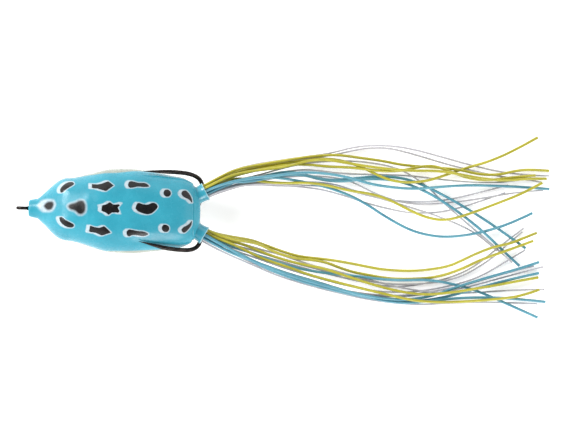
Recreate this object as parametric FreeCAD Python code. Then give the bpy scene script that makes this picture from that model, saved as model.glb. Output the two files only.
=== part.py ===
"""Topwater popper: a hollow soft frog-shaped lure with a double hook, rattle and skirt legs.

Frame: +X from the nose to the tail, +Y to the lure's right, +Z up, in millimetres. The flat of
the belly is z = 0, and x = 0, y = 0 is the middle of the lure without its skirt strands.
"""

import FreeCAD, Part
import math
import os

V = FreeCAD.Vector

# --- driving dimensions, mm ---------------------------------------------------------------
WALL = 1.3  # soft shell's wall
# Body stations: x, half width, underside, top, height of the widest line.
STATIONS = [
    (-27.4, 3.5, 4.4, 12.0, 8.2),
    (-24.3, 6.3, 3.2, 13.6, 8.0),
    (-19.4, 10.1, 1.7, 17.0, 8.6),
    (-13.9, 11.6, 0.6, 19.4, 9.3),
    (-7.7, 13.3, -0.1, 21.2, 9.8),
    (-1.3, 14.9, -0.4, 22.2, 10.1),
    (5.9, 15.2, -0.4, 22.3, 10.2),
    (14.2, 14.3, -0.4, 21.1, 10.1),
    (21.0, 13.2, -0.3, 19.4, 10.0),
    (26.1, 11.6, 0.9, 17.7, 10.2),
    (28.6, 10.0, 3.8, 16.4, 10.9),
    (30.4, 7.6, 7.2, 14.8, 11.2),
    (31.2, 5.2, 8.6, 13.6, 11.2),
]
SECTION_POWER = 2.4  # of the superellipse that every section is
SECTION_POINTS = 20
CAVITY_FRONT = -23.0  # the cavity's ends along x
CAVITY_REAR = 28.4

SNOUT_FRONT = -30.4
SNOUT_R_FRONT = 2.9
SNOUT_R_BACK = 3.7
CUP_R = 3.6  # radius of the sphere that hollows the snout's face
CUP_DEPTH = 1.0

SHANK_R = 0.75
SHANK_CLEARANCE = 0.05
SHANK_FRONT = V(-30.2, 0, 8.2)  # the shank's axis leaves the eye here
SHANK_REAR = V(27.6, 0, 5.0)
SHANK_LENGTH = 54.5
EYE_ROOT = 0.8  # of the shank inside the eye's ring
EYE_RING_R = 1.85
EYE_WIRE_R = 0.6
EYE_BORE_R = 1.35
EYE_CENTRE_X = -32.55
POINT_LENGTH = 7.0  # of each hook point's taper
POINT_TIP_R = 0.08

SOCKET_RIM = V(33.15, 7.95, 10.5)  # of the right socket; the left one is its mirror image
SOCKET_TURN = 29.0  # degrees outwards from +X
SOCKET_R = 3.15
SOCKET_RIM_R = 3.4
SOCKET_BORE_R = 2.72
SOCKET_LENGTH = 5.0
PLUG_R = 2.69
PLUG_FACE = -2.5  # along the socket's axis from its rim
PLUG_LENGTH = 4.6
BAND_R = 3.5
BAND_ROOM = 0.2  # round the ring, inside the shell
BAND_LENGTH = 1.4
BAND_START = -6.7

SLOT_HALF_WIDTH = 3.4
SLOT_HALF_HEIGHT = 1.2

WEIGHT_R = 3.5
WEIGHT_FRONT = 3.0  # distances along the shank from its middle
WEIGHT_LENGTH = 15.0
WEIGHT_BORE_R = 0.76

RATTLE_CENTRE = -9.5  # along the shank from its middle
RATTLE_RISE = 3.6  # the rattle's axis above the shank's
RATTLE_R = 2.1
RATTLE_BORE_R = 1.7
RATTLE_LENGTH = 18.0
RATTLE_PLUG = 1.2
BALL_R = 1.5
BALL_PITCH = 4.9
RATTLE_BAND_WIDTH = 1.6
RATTLE_BAND_WALL = 0.5
RATTLE_BAND_OFFSET = 6.0
FIT = 0.01

COLOURED_R = 0.5  # yellow and blue strands
CLEAR_R = 0.33
STRAND_LEAD = 1.5  # straight stretch past the socket's rim

# Skirt strands: where each one roots in its socket (across, up from the socket's axis), then
# the points of its route over the table.
STRANDS = {
    "strand_right_yellow_1": ((2.12, 0.52), [
        (40.6, 14.7, 10.3), (45.3, 16.6, 8.5), (51.5, 18, 6.9), (58.1, 19.4, 5.5),
        (64.4, 20.6, 4.4), (70.9, 21.8, 3.4), (79.9, 22.7, 2.6), (86.1, 22, 2), (96.2, 21, 1.7),
        (103.7, 19.6, 1.5), (115.4, 19.1, 1.6), (124.5, 18.6, 2.6), (131, 17.1, 2.4),
        (138.5, 17, 1.9), (145.1, 18.9, 1.4), (151.4, 19.4, 0.9), (157, 19.1, 0.5)]),
    "strand_right_yellow_2": ((2.12, -0.52), [
        (40.9, 14.2, 8.4), (45.7, 15.7, 7), (51.8, 17.3, 5.7), (58.3, 18.5, 4.5), (66.6, 20, 3.5),
        (74.6, 21.2, 2.9), (81.6, 20.7, 2.5), (88.5, 18.7, 2), (93.4, 16.4, 2.3), (99.3, 13.9, 3),
        (105.9, 13.2, 2.9), (113.4, 14.2, 2.3), (120.4, 16.8, 1.4), (126.9, 19.3, 1.3),
        (135.1, 21.8, 1.3), (144.2, 26.1, 0.9), (152.5, 31.1, 0.5)]),
    "strand_right_yellow_3": ((1.08, 0.52), [
        (41.2, 13.1, 9.8), (45.8, 14.6, 8.2), (51.6, 16.2, 6.8), (57, 17.4, 5.7),
        (62.8, 18.5, 4.7), (69.5, 18.8, 4), (76.6, 18.2, 3.6), (85.7, 18.2, 3.5),
        (95.9, 17.1, 3.2), (102.9, 17.4, 2.6), (108.4, 18.8, 2.7), (114.3, 19.9, 3),
        (120.1, 18.2, 3.1), (126.8, 15.7, 2.4), (134.3, 14.8, 2), (143.7, 16.4, 1.9),
        (152, 17.3, 1.8)]),
    "strand_right_yellow_4": ((1.08, -0.52), [
        (41.1, 12.5, 8.2), (46.3, 13.1, 7.5), (52.4, 12.2, 6.5), (60.2, 11.7, 6.2),
        (69.8, 12.2, 5.8), (76.8, 11.5, 4.6), (84.2, 9.8, 3.8), (92.9, 8.9, 3.2), (99.8, 6.8, 2.9),
        (108.3, 2.6, 2.9), (114, 0.6, 3.1), (119.9, -0, 3.6), (127.3, 2.2, 3.8), (139.2, 7.1, 3.3),
        (147.5, 10.6, 2.8), (154.5, 14.7, 2.4)]),
    "strand_right_yellow_5": ((1.2, 1.56), [
        (41.3, 13.6, 11.4), (46.2, 15.1, 9.6), (52.3, 16.2, 8), (60.5, 17.4, 6.7),
        (65.5, 18.8, 5.6), (69.6, 20.1, 4.7), (75.6, 20.8, 4.1), (82.8, 19.9, 3.7),
        (91.1, 18.7, 3.7), (99.8, 17.9, 3.8), (108.1, 17.6, 3.9), (117, 17.9, 4), (125.4, 16.7, 4),
        (133.4, 15.4, 3.4), (141.7, 15.1, 2.9), (149.6, 16.1, 2.2), (156.1, 16.2, 1.4)]),
    "strand_right_blue_1": ((0.15, 1.56), [
        (42, 11.6, 12.3), (48.3, 13, 10.4), (58.3, 14.3, 8.7), (66.5, 15.9, 7.1),
        (75.7, 15.8, 5.8), (84.9, 14.5, 4.8), (92.8, 12.2, 4), (102.9, 11.2, 3.5),
        (109.7, 11.1, 3.1), (118.8, 12.3, 2.6), (128.7, 13.1, 2.1), (139.4, 13.1, 1.7),
        (149.4, 12.9, 1.3), (157.2, 12.5, 1)]),
    "strand_right_blue_2": ((0.04, -0.52), [
        (41.9, 11.3, 7.9), (48.7, 12.4, 5.8), (55.9, 14.8, 4.8), (62.8, 16.2, 3.9),
        (70.2, 14.7, 3.1), (77.6, 13.2, 2.4), (85.8, 14.2, 1.7), (95, 15.4, 1), (103.8, 15, 1.1),
        (109.5, 13.4, 1.6), (116.5, 10.4, 1.8), (127.2, 4.9, 1.2), (139, -2.2, 0.8),
        (149.2, -9.2, 2)]),
    "strand_right_blue_3": ((-1, 0.52), [
        (42.3, 11.2, 8.9), (47.7, 13.2, 8.4), (53.6, 13.8, 8.5), (60.3, 13.5, 6.8),
        (67.6, 12.6, 4.6), (76.8, 10.8, 3.6), (85.1, 8.1, 2.8), (91.7, 4.8, 2.2), (98.2, 0.7, 1.8),
        (106.9, -3.8, 1.5), (114.2, -5.6, 1.5), (121, -6, 1.6), (130, -4.7, 1.9),
        (138.6, -2.2, 2.1), (146, 0.9, 1.6), (151.3, 3.6, 0.5)]),
    "strand_right_blue_4": ((0.04, 0.52), [
        (41.6, 11.7, 10.8), (48.1, 11.7, 8.9), (58.1, 14.2, 6), (67.4, 15.2, 4.8),
        (74.8, 13.3, 3.8), (81.9, 12.9, 3), (90.4, 14.2, 2.3), (97.7, 14.4, 1.6),
        (104.6, 13.3, 1.6), (111.6, 10.7, 1.8), (117.3, 7.8, 2.1), (124, 3.6, 2.4),
        (133.2, -3.2, 3.3), (140.4, -9.7, 2), (147.2, -15.6, 0.8)]),
    "strand_right_clear_1": ((1.75, -1.45), [
        (40.6, 15.1, 7.2), (45.3, 17, 6), (51.5, 18.6, 5), (57.9, 19.8, 3.9), (64.4, 21, 3),
        (70.8, 22, 2.3), (78.2, 23.3, 1.7), (86.9, 25.9, 1.2), (96, 26.6, 0.9), (105.5, 26, 0.6),
        (118, 23, 0.4), (128.4, 20.4, 0.4), (139.2, 18.2, 0.4), (149.5, 17.3, 0.4),
        (157.1, 17.3, 0.4)]),
    "strand_right_clear_2": ((1.05, -1.45), [
        (41.3, 13.9, 6.9), (45.8, 16, 5.6), (52.2, 17.6, 4.3), (60.8, 19.4, 3.2),
        (70.1, 20.9, 2.3), (78.7, 22.6, 1.6), (85.5, 24.3, 1.2), (91.6, 25.5, 0.8),
        (99.4, 25.6, 0.6), (108.5, 23.5, 0.5), (120.2, 20.3, 0.4), (130.6, 18.1, 0.4),
        (139.3, 16.5, 0.7), (147.7, 15.8, 1.2), (154.2, 14.9, 1.5)]),
    "strand_right_clear_3": ((0.35, -1.45), [
        (41.7, 12.3, 7.2), (48.6, 13.5, 5.6), (56.5, 15.9, 4.3), (63.7, 18.1, 3.2),
        (71.4, 19.6, 2.3), (79.2, 20.4, 1.6), (87.5, 20.6, 1.2), (97.4, 19.5, 1.2), (103, 18, 1.3),
        (108, 15.5, 1.2), (114, 11.4, 0.6), (119.2, 6.2, 1.4), (127.5, -0.6, 0.7),
        (136.8, -7.9, 1.4), (144.4, -14.5, 2.8)]),
    "strand_right_clear_4": ((-0.35, -1.45), [
        (42.4, 11.4, 6.5), (49.5, 13.4, 4.8), (58, 15.4, 3.5), (66.9, 16.9, 2.5),
        (73.1, 16.8, 1.8), (78.9, 16.1, 1.2), (86.5, 15.8, 0.8), (95, 16, 0.4), (107, 15.9, 0.4),
        (118.7, 14.7, 0.4), (130.7, 14, 0.4), (141.7, 14.5, 0.4), (150.5, 16.3, 0.4)]),
    "strand_right_clear_5": ((-2.23, -0.52), [
        (41.7, 8.9, 7.8), (46.5, 10.5, 6.5), (52.9, 10.9, 5.2), (58.4, 10.7, 4.1),
        (64.7, 10.8, 3.1), (74, 10, 2.2), (79.5, 8.8, 1.6), (85.1, 7.3, 1.2), (92.5, 5.1, 0.8),
        (100.5, 3.4, 0.6), (106.2, 2.4, 0.5), (112.4, 2.4, 0.4), (120.7, 3.4, 0.4),
        (131.7, 7, 0.4), (141.3, 10.7, 0.4)]),
    "strand_right_clear_6": ((-1.53, -0.52), [
        (41.8, 9.9, 8.9), (47.1, 11.3, 7), (53.9, 11.9, 5.3), (62.5, 11.9, 3.9), (71.1, 12.6, 2.8),
        (79.5, 12, 2), (85, 10.3, 1.3), (92.5, 8.4, 0.8), (99.7, 6.8, 0.4), (108.2, 6.4, 0.4),
        (116.4, 6.8, 0.4), (123.8, 8.3, 0.4), (133.4, 10.9, 0.4), (142.3, 13.5, 0.4)]),
    "strand_right_clear_7": ((-0.83, -0.52), [
        (42.2, 10.3, 6.6), (48.1, 11.8, 5.2), (56.7, 13.3, 3.8), (66, 14.5, 2.6),
        (73.9, 14.8, 1.7), (81.1, 14.2, 1), (86.8, 12.6, 0.8), (92.4, 9.8, 1), (97.9, 7.7, 1.2),
        (104.1, 6.1, 1.2), (111.5, 5.5, 0.6), (122.2, 6.6, 0.4), (132.9, 8.4, 1.1),
        (144.6, 10.9, 1.2), (155.1, 12, 0.4)]),
    "strand_right_clear_8": ((-1.87, 0.52), [
        (42.3, 9.6, 9.4), (47.5, 10.9, 7.6), (54.3, 11.4, 5.9), (63.2, 11.2, 4.4),
        (72.6, 11.1, 3.1), (81.2, 10.6, 2.3), (89.2, 8.8, 1.8), (96.8, 7.1, 1.5),
        (104.1, 5.2, 1.3), (114, 2.5, 1.2), (124, -0.9, 0.8), (131.5, -4.5, 0.4),
        (135.9, -7.9, 0.4), (139, -10.5, 0.4)]),
    "strand_left_yellow_1": ((2.12, -0.52), [
        (43.1, -8.2, 7.7), (49.9, -9, 6.2), (54.5, -10.6, 4.9), (60.9, -12.8, 3.7),
        (67.4, -14.6, 2.7), (76.6, -15.2, 1.9), (84.5, -16.2, 1.5), (91.4, -17.4, 1.2),
        (98.3, -18.5, 1.1), (108.9, -18.7, 1.2), (117.2, -17.5, 1.3), (122.1, -16.3, 1.6),
        (126.2, -14.3, 2), (130.6, -12, 2.6), (136.8, -9.2, 3.4), (143.8, -7.5, 3.1),
        (148.8, -5.3, 2), (153.1, -3.5, 0.5)]),
    "strand_left_yellow_2": ((2.12, 0.52), [
        (44.2, -9.3, 9.8), (49.9, -9.8, 8), (54.2, -11, 6.4), (58.6, -13.3, 5.1), (66.5, -15.4, 4),
        (73, -15.7, 3.2), (77.6, -16.5, 2.4), (81.8, -18.1, 1.8), (87.2, -19.7, 1.4),
        (93.1, -20.6, 1.2), (100.7, -21.7, 1.1), (110.3, -21.4, 1.2), (118.5, -20.4, 1.5),
        (127.1, -17, 2), (133.6, -13.5, 2.5), (143, -10, 3.1), (151.8, -6.4, 2.8)]),
    "strand_left_yellow_3": ((1.08, 0.52), [
        (41.6, -10.1, 10.5), (46.3, -12, 8.9), (53.7, -15.6, 7.5), (63.9, -18.5, 6.3),
        (70.8, -21, 5.4), (81.5, -23.5, 4.8), (90.7, -25.5, 4.4), (101, -27.6, 4.5),
        (109.5, -29.3, 4.4), (118.4, -29.6, 4), (127.5, -29.1, 3.7), (139.9, -27.8, 3.5),
        (148.5, -26.4, 2.6), (154.6, -24, 1.3)]),
    "strand_left_yellow_4": ((1.08, -0.52), [
        (42, -9.5, 8.6), (47, -10.7, 7.4), (52.4, -12.7, 6.3), (58.2, -14.8, 5.4),
        (64.8, -16.6, 4.8), (71.6, -17.8, 4.4), (76.5, -18.6, 4.2), (84.3, -21, 4.1),
        (96.7, -24.6, 3.8), (106.8, -26.6, 3.7), (114.6, -27, 3.8), (123.8, -25.8, 3.8),
        (132.8, -24, 3.6), (139.7, -22.7, 2.8), (147.6, -20.9, 1.7), (154.2, -19.6, 0.5)]),
    "strand_left_blue_1": ((0.04, -0.52), [
        (43.2, -11.6, 7.8), (51.9, -14.3, 6.5), (61.1, -17.4, 5.2), (68, -19, 4.1),
        (77.7, -20.4, 3.2), (87.6, -20.9, 2.8), (97.5, -22, 2.5), (105.3, -22.1, 2.3),
        (112.9, -21.6, 2.3), (119.8, -22.2, 2), (128.9, -24.1, 1.2), (135.6, -26.4, 1.4),
        (145.8, -30.6, 1.2), (154.3, -34.1, 1.2)]),
    "strand_left_blue_2": ((0.35, 1.56), [
        (44, -13.4, 11.2), (53.7, -17.7, 9.4), (64.9, -21.6, 7.7), (77.9, -24.9, 6.4),
        (87.1, -27.1, 5.3), (96.4, -28.7, 4.4), (105.9, -29.2, 3.3), (115.5, -27.6, 2.7),
        (121.6, -25.1, 2.6), (128.8, -22.4, 2.6), (139.6, -18.9, 2), (147.6, -16.5, 1.5),
        (154.3, -14, 0.9)]),
    "strand_left_blue_3": ((0.04, 0.52), [
        (44.3, -13.4, 9.7), (53.7, -18.3, 7.9), (64.8, -22.5, 5.9), (77.8, -25.8, 4),
        (88.6, -28, 2.7), (99, -29.5, 2), (107.8, -29.8, 1.8), (116.2, -28.7, 1.9),
        (125.7, -26.3, 2.5), (135.9, -22.9, 2.2), (146.2, -20, 1.3), (154.4, -18, 0.5)]),
    "strand_left_blue_4": ((-1, 0.52), [
        (42.8, -14, 8.8), (52.3, -17.1, 7), (62.3, -20.5, 5.8), (72.2, -23, 5), (81.8, -25.7, 4.4),
        (93.8, -28.9, 3.5), (104.2, -30.4, 3), (113, -29.6, 3), (122.7, -28.1, 3),
        (134, -27.3, 2.8), (146.4, -27.5, 1.7), (157, -28.4, 0.5)]),
    "strand_left_clear_1": ((-2.23, -0.52), [
        (40.4, -14, 8.4), (49.9, -17.8, 6.8), (59.3, -21.7, 5.2), (70, -24.7, 3.8),
        (82.4, -27.5, 2.6), (93.2, -29.5, 1.7), (103.1, -30.5, 1.2), (111.4, -30.8, 0.8),
        (122.2, -29.9, 0.5), (139.4, -28.9, 0.4), (154.1, -29.2, 0.4)]),
    "strand_left_clear_2": ((1.05, -1.45), [
        (42.9, -9.6, 7.2), (49.1, -11.1, 5.9), (54.3, -12.6, 4.8), (59.9, -13.9, 3.7),
        (65.6, -15.6, 2.9), (72.1, -17.6, 2.3), (79.1, -19, 1.9), (89.2, -21.3, 1.8),
        (98.2, -23.5, 1.9), (107.1, -25.2, 1.8), (115.5, -26, 1.6), (123.6, -26.3, 1),
        (130.2, -26, 0.4), (137.2, -25.2, 0.4), (147.1, -24.3, 0.4), (156.6, -23.9, 0.4)]),
    "strand_left_clear_3": ((0.35, -1.45), [
        (42.7, -10.8, 7), (50.3, -12.7, 5.5), (59, -15.2, 4.2), (67.7, -17.5, 3), (77.1, -19.6, 2),
        (88, -21.9, 1.3), (98.8, -23.6, 1), (108.9, -23.5, 1.3), (117, -22.6, 1.1),
        (124.8, -20.7, 0.7), (130.4, -17.9, 0.5), (137.8, -12.8, 0.4), (142.9, -7.7, 0.4),
        (148, -3.2, 0.4)]),
    "strand_left_clear_4": ((-0.35, -1.45), [
        (42.6, -12, 7.1), (50.9, -14, 5.5), (60.4, -16.4, 4.1), (69.8, -18.9, 3), (80, -21, 2),
        (90.9, -23.3, 1.3), (101.7, -24.8, 0.7), (112.1, -23.4, 0.4), (123, -20.5, 0.4),
        (131.2, -16.3, 0.9), (137.6, -10.7, 1.3), (143.4, -5.9, 0.4), (148.4, -1.9, 0.4)]),
    "strand_left_clear_5": ((-0.83, -0.52), [
        (42.6, -12.6, 8.4), (51.3, -15.3, 6.6), (61.2, -18.6, 5.1), (71.4, -21.4, 3.7),
        (82.3, -24.1, 2.6), (93.9, -26.2, 1.8), (104.7, -26.6, 1.2), (114.8, -25.3, 0.7),
        (124, -23.2, 0.6), (132.9, -20.1, 0.4), (141.3, -14.9, 0.4), (149.2, -9.8, 0.4)]),
    "strand_left_clear_6": ((-1.05, -1.45), [
        (42.2, -13.4, 7.2), (50.7, -16.8, 5.6), (60.6, -20.6, 4.4), (71.5, -23.5, 3.3),
        (83.1, -26.2, 2.5), (94.6, -27.7, 1.9), (105.4, -27.7, 1.3), (115.8, -25.8, 0.7),
        (125.4, -23.9, 0.4), (133.8, -21.2, 0.4), (143.3, -18.1, 0.4), (152.5, -15.6, 0.4)]),
    "strand_left_clear_7": ((-1.53, -0.52), [
        (42, -13.5, 8), (50.4, -17.3, 6.2), (60.6, -21.4, 4.6), (72.2, -24.6, 3.1),
        (84.2, -27.4, 2), (95.4, -28.3, 1.2), (106.2, -28, 0.6), (117.7, -26.4, 0.4),
        (129.8, -23.6, 0.4), (143.2, -19.4, 0.4), (156, -15.7, 0.4)]),
}

# Hook arms, from inside the shank's rear end to where the point's straight taper starts.
RIGHT_ARM = [
    (22.0, 0.80, 5.31), (28.7, 0.80, 4.60), (30.7, 2.9, 3.3), (31.1, 6.3, 3.0), (31.9, 9.8, 4.9),
    (30.7, 12.6, 7.8), (27.3, 14.1, 10.6), (22.6, 14.5, 12.7), (17.2, 14.5, 14.5),
]
LEFT_ARM = [
    (22.0, -0.80, 5.31), (28.7, -0.80, 4.60), (30.6, -2.9, 3.3), (30.9, -6.3, 3.0), (31.6, -9.6, 5.2),
    (30.9, -12.0, 8.4), (28.3, -13.4, 11.9), (24.0, -13.3, 14.9), (19.4, -12.8, 17.1),
    (16.4, -12.1, 18.1),
]


def export(node, shape):
    """Writes one node after checking that it is valid and closed."""
    if not shape.isValid():
        raise ValueError(node + " is not valid")
    for solid in shape.Solids:
        if not solid.isClosed() or solid.Volume <= 0:
            raise ValueError(node + " is not a closed solid")
    shape.exportStep("parts/" + node + ".step")
    print("%-24s solids %d volume %9.2f mm3" % (node, len(shape.Solids), shape.Volume))


def superellipse(x, half_width, low, high, middle):
    """A closed section across X: flat-sided and wider than an ellipse."""
    points = []
    for k in range(SECTION_POINTS):
        turn = 2 * math.pi * k / SECTION_POINTS
        c = math.cos(turn)
        s = math.sin(turn)
        across = math.copysign(abs(c) ** (2 / SECTION_POWER), c)
        up = math.copysign(abs(s) ** (2 / SECTION_POWER), s)
        reach = high - middle if s > 0 else middle - low
        points.append(V(x, half_width * across, middle + reach * up))
    curve = Part.BSplineCurve()
    curve.interpolate(Points=points, PeriodicFlag=True)
    return Part.Wire(curve.toShape())


def body_loft(inset):
    """The shell's outside, or its inside when inset by the wall."""
    wires = []
    if inset == 0:
        stations = STATIONS
    else:
        stations = [s for s in STATIONS if CAVITY_FRONT - 2 < s[0] < CAVITY_REAR]
    for x, half_width, low, high, middle in stations:
        floor = max(low + inset, inset * 1.1) if inset else low
        wires.append(superellipse(x, half_width - inset, floor, high - inset, middle))
    return Part.makeLoft(wires, True, False)


def along(start, direction, radius_1, radius_2, length):
    """A cylinder or cone from a point along a direction."""
    if radius_1 == radius_2:
        return Part.makeCylinder(radius_1, length, start, direction)
    return Part.makeCone(radius_1, radius_2, length, start, direction)


SHANK = (SHANK_REAR - SHANK_FRONT).normalize()
SHANK_MIDDLE = (SHANK_FRONT + SHANK_REAR) * 0.5
SHANK_UP = V(-SHANK.z, 0, SHANK.x)


def on_shank(distance, rise=0.0):
    """A point at a distance along the shank from its middle, and above its axis."""
    return SHANK_MIDDLE + SHANK * distance + SHANK_UP * rise


def socket_frame(side):
    """A socket's rim centre, its axis out of the body, and the level direction across it."""
    turn = math.radians(SOCKET_TURN)
    rim = V(SOCKET_RIM.x, side * SOCKET_RIM.y, SOCKET_RIM.z)
    axis = V(math.cos(turn), side * math.sin(turn), 0)
    across = V(-side * math.sin(turn), math.cos(turn), 0)
    return rim, axis, across


def body_shell():
    """Hollow soft shell: body, snout with a cupped face, two leg sockets, nose and tail holes."""
    outer = body_loft(0)
    snout = along(V(SNOUT_FRONT, 0, 8.2), V(1, 0, 0), SNOUT_R_FRONT, SNOUT_R_BACK, 3.4)
    outer = outer.fuse(snout)
    for side in (1, -1):
        rim, axis, across = socket_frame(side)
        outer = outer.fuse(along(rim - axis * SOCKET_LENGTH, axis, SOCKET_R, SOCKET_RIM_R, SOCKET_LENGTH))
    cavity = body_loft(WALL)
    shell = outer.cut(cavity)
    cup = Part.makeSphere(CUP_R, V(SNOUT_FRONT - CUP_R + CUP_DEPTH, 0, 8.2))
    shell = shell.cut(cup)
    for side in (1, -1):
        rim, axis, across = socket_frame(side)
        shell = shell.cut(along(rim - axis * (SOCKET_LENGTH + 1), axis, SOCKET_BORE_R, SOCKET_BORE_R, 12.0))
        pocket_r = BAND_R + BAND_ROOM
        shell = shell.cut(along(rim - axis * 9.5, axis, pocket_r, pocket_r, 9.5 - SOCKET_LENGTH))
    nose_bore = along(on_shank(-34), SHANK, SHANK_R + SHANK_CLEARANCE, SHANK_R + SHANK_CLEARANCE, 20)
    shell = shell.cut(nose_bore)
    slot = Part.makeBox(12, 2 * SLOT_HALF_WIDTH, 2 * SLOT_HALF_HEIGHT)
    slot.translate(V(24.5, -SLOT_HALF_WIDTH, 4.6 - SLOT_HALF_HEIGHT))
    ends = [e for e in slot.Edges if abs(e.BoundBox.XLength - 12) < 1e-6]
    shell = shell.cut(slot.makeFillet(1.0, ends))
    below = Part.makeBox(90, 60, 10, V(-45, -30, -10))
    return shell.cut(below).removeSplitter()


def route_wire(points):
    """Straight runs joined by tangent arcs. Returns the wire, its length and its least radius."""
    edges = []
    radii = []
    here = points[0]
    for before, corner, after in zip(points, points[1:], points[2:]):
        to_before = (before - corner).normalize()
        to_after = (after - corner).normalize()
        trim = 0.45 * min(before.distanceToPoint(corner), after.distanceToPoint(corner))
        half = (math.pi - to_before.getAngle(to_after)) / 2
        radius = trim / math.tan(half)
        start = corner + to_before * trim
        end = corner + to_after * trim
        inward = (to_before + to_after).normalize()
        middle = corner + inward * (radius / math.cos(half) - radius)
        edges.append(Part.LineSegment(here, start).toShape())
        edges.append(Part.Arc(start, middle, end).toShape())
        radii.append(radius)
        here = end
    edges.append(Part.LineSegment(here, points[-1]).toShape())
    return Part.Wire(edges), sum(e.Length for e in edges), min(radii)


def tube(points, radius):
    """A round tube along a route, compared with its section times its length."""
    wire, length, least = route_wire(points)
    direction = (points[1] - points[0]).normalize()
    section = Part.Wire(Part.Circle(points[0], direction, radius).toShape())
    shape = wire.makePipeShell([section], True, False, 2)
    return shape, length, least


def hook_arm(route):
    """One arm of the hook: bent wire and a long tapered point in line with its last run."""
    points = [V(*p) for p in route]
    wire, length, least = tube(points, SHANK_R)
    onward = (points[-1] - points[-2]).normalize()
    point = along(points[-1], onward, SHANK_R, POINT_TIP_R, POINT_LENGTH)
    return wire.fuse(point)


def double_hook():
    """Line eye, shank and two arms, brazed into one piece."""
    eye_centre = V(EYE_CENTRE_X, 0, SHANK_FRONT.z + 0.1)
    ring = Part.makeTorus(EYE_RING_R, EYE_WIRE_R, eye_centre, V(0, 1, 0))
    bore = Part.makeCylinder(EYE_BORE_R, 4, eye_centre - V(0, 2, 0), V(0, 1, 0))
    shank = Part.makeCylinder(SHANK_R, SHANK_LENGTH, SHANK_FRONT - SHANK * EYE_ROOT, SHANK)
    hook = ring.fuse(shank).cut(bore)
    hook = hook.fuse(hook_arm(RIGHT_ARM))
    return hook.fuse(hook_arm(LEFT_ARM))


def belly_weight():
    """A bullet-shaped weight threaded on the shank."""
    nose = 3.5
    start = on_shank(WEIGHT_FRONT)
    shape = along(start + SHANK * nose, SHANK, WEIGHT_R, WEIGHT_R, WEIGHT_LENGTH - nose)
    shape = shape.fuse(along(start, SHANK, WEIGHT_R * 0.45, WEIGHT_R, nose))
    return shape.cut(along(start - SHANK, SHANK, WEIGHT_BORE_R, WEIGHT_BORE_R, WEIGHT_LENGTH + 2))


def rattle_point(distance):
    """A point on the rattle's axis at a distance from its middle."""
    return on_shank(RATTLE_CENTRE + distance, RATTLE_RISE)


def rattle_tube():
    """The rattle's open-ended sleeve."""
    start = rattle_point(-RATTLE_LENGTH / 2)
    sleeve = along(start, SHANK, RATTLE_R, RATTLE_R, RATTLE_LENGTH)
    return sleeve.cut(along(start - SHANK, SHANK, RATTLE_BORE_R, RATTLE_BORE_R, RATTLE_LENGTH + 2))


def rattle_plug(end):
    """One press-in end plug of the rattle; end is -1 at the front and 1 at the rear."""
    outer_face = rattle_point(end * RATTLE_LENGTH / 2)
    return along(outer_face - SHANK * end * RATTLE_PLUG, SHANK * end, RATTLE_BORE_R - FIT,
                 RATTLE_BORE_R - FIT, RATTLE_PLUG)


def rattle_band(end):
    """A band round the rattle and the shank that ties them together."""
    centre = end * RATTLE_BAND_OFFSET
    start = rattle_point(centre - RATTLE_BAND_WIDTH / 2)
    low = start - SHANK_UP * RATTLE_RISE
    rings = []
    for extra in (RATTLE_BAND_WALL, 0.0):
        round_tube = along(start, SHANK, RATTLE_R + FIT + extra, RATTLE_R + FIT + extra, RATTLE_BAND_WIDTH)
        round_shank = along(low, SHANK, SHANK_R + FIT + extra, SHANK_R + FIT + extra, RATTLE_BAND_WIDTH)
        rings.append(round_tube.fuse(round_shank))
    between = Part.makeBox(RATTLE_BAND_WIDTH, 1.2, 1.2, V(0, -0.6, -0.6))
    between.rotate(V(0, 0, 0), V(0, 1, 0), math.degrees(math.atan2(-SHANK.z, SHANK.x)))
    between.translate(low + SHANK_UP * 1.2)
    return rings[0].fuse(between).cut(rings[1]).removeSplitter()


def skirt_plug(side):
    """The moulded plug in a socket that holds the strands' roots."""
    rim, axis, across = socket_frame(side)
    return along(rim + axis * (PLUG_FACE - PLUG_LENGTH), axis, PLUG_R, PLUG_R, PLUG_LENGTH)


def skirt_band(side):
    """The ring round the plug's inner end that stops it being pulled out."""
    rim, axis, across = socket_frame(side)
    start = rim + axis * BAND_START
    ring = along(start, axis, BAND_R, BAND_R, BAND_LENGTH)
    return ring.cut(along(start - axis, axis, PLUG_R + FIT, PLUG_R + FIT, BAND_LENGTH + 2))


def strand(node, root, route):
    """One skirt strand from its plug, out of the socket and over the table."""
    side = 1 if "_right_" in node else -1
    radius = CLEAR_R if "_clear_" in node else COLOURED_R
    rim, axis, across = socket_frame(side)
    base = rim + across * root[0] + V(0, 0, root[1])
    points = [base + axis * PLUG_FACE, base + axis * STRAND_LEAD] + [V(*p) for p in route]
    shape, length, least = tube(points, radius)
    ratio = shape.Volume / (math.pi * radius ** 2 * length)
    print("%-24s length %6.1f least bend radius %5.1f volume ratio %.4f" % (node, length, least, ratio))
    if abs(ratio - 1) > 0.01:
        raise ValueError(node + " has a faulty volume")
    return shape


def main():
    os.makedirs("parts", exist_ok=True)
    export("body_shell", body_shell())
    export("double_hook", double_hook())
    export("belly_weight", belly_weight())
    export("rattle_tube", rattle_tube())
    for name, end in (("front", -1), ("rear", 1)):
        export("rattle_plug_" + name, rattle_plug(end))
        export("rattle_band_" + name, rattle_band(end))
    for name, place in (("front", -1), ("middle", 0), ("rear", 1)):
        export("rattle_ball_" + name, Part.makeSphere(BALL_R, rattle_point(place * BALL_PITCH)))
    for name, side in (("right", 1), ("left", -1)):
        export("skirt_plug_" + name, skirt_plug(side))
        export("skirt_band_" + name, skirt_band(side))
    for node, (root, route) in STRANDS.items():
        export(node, strand(node, root, route))


main()
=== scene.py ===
"""Looks of the topwater popper: painted soft body, black double hook and silicone skirt legs."""

import math

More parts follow.
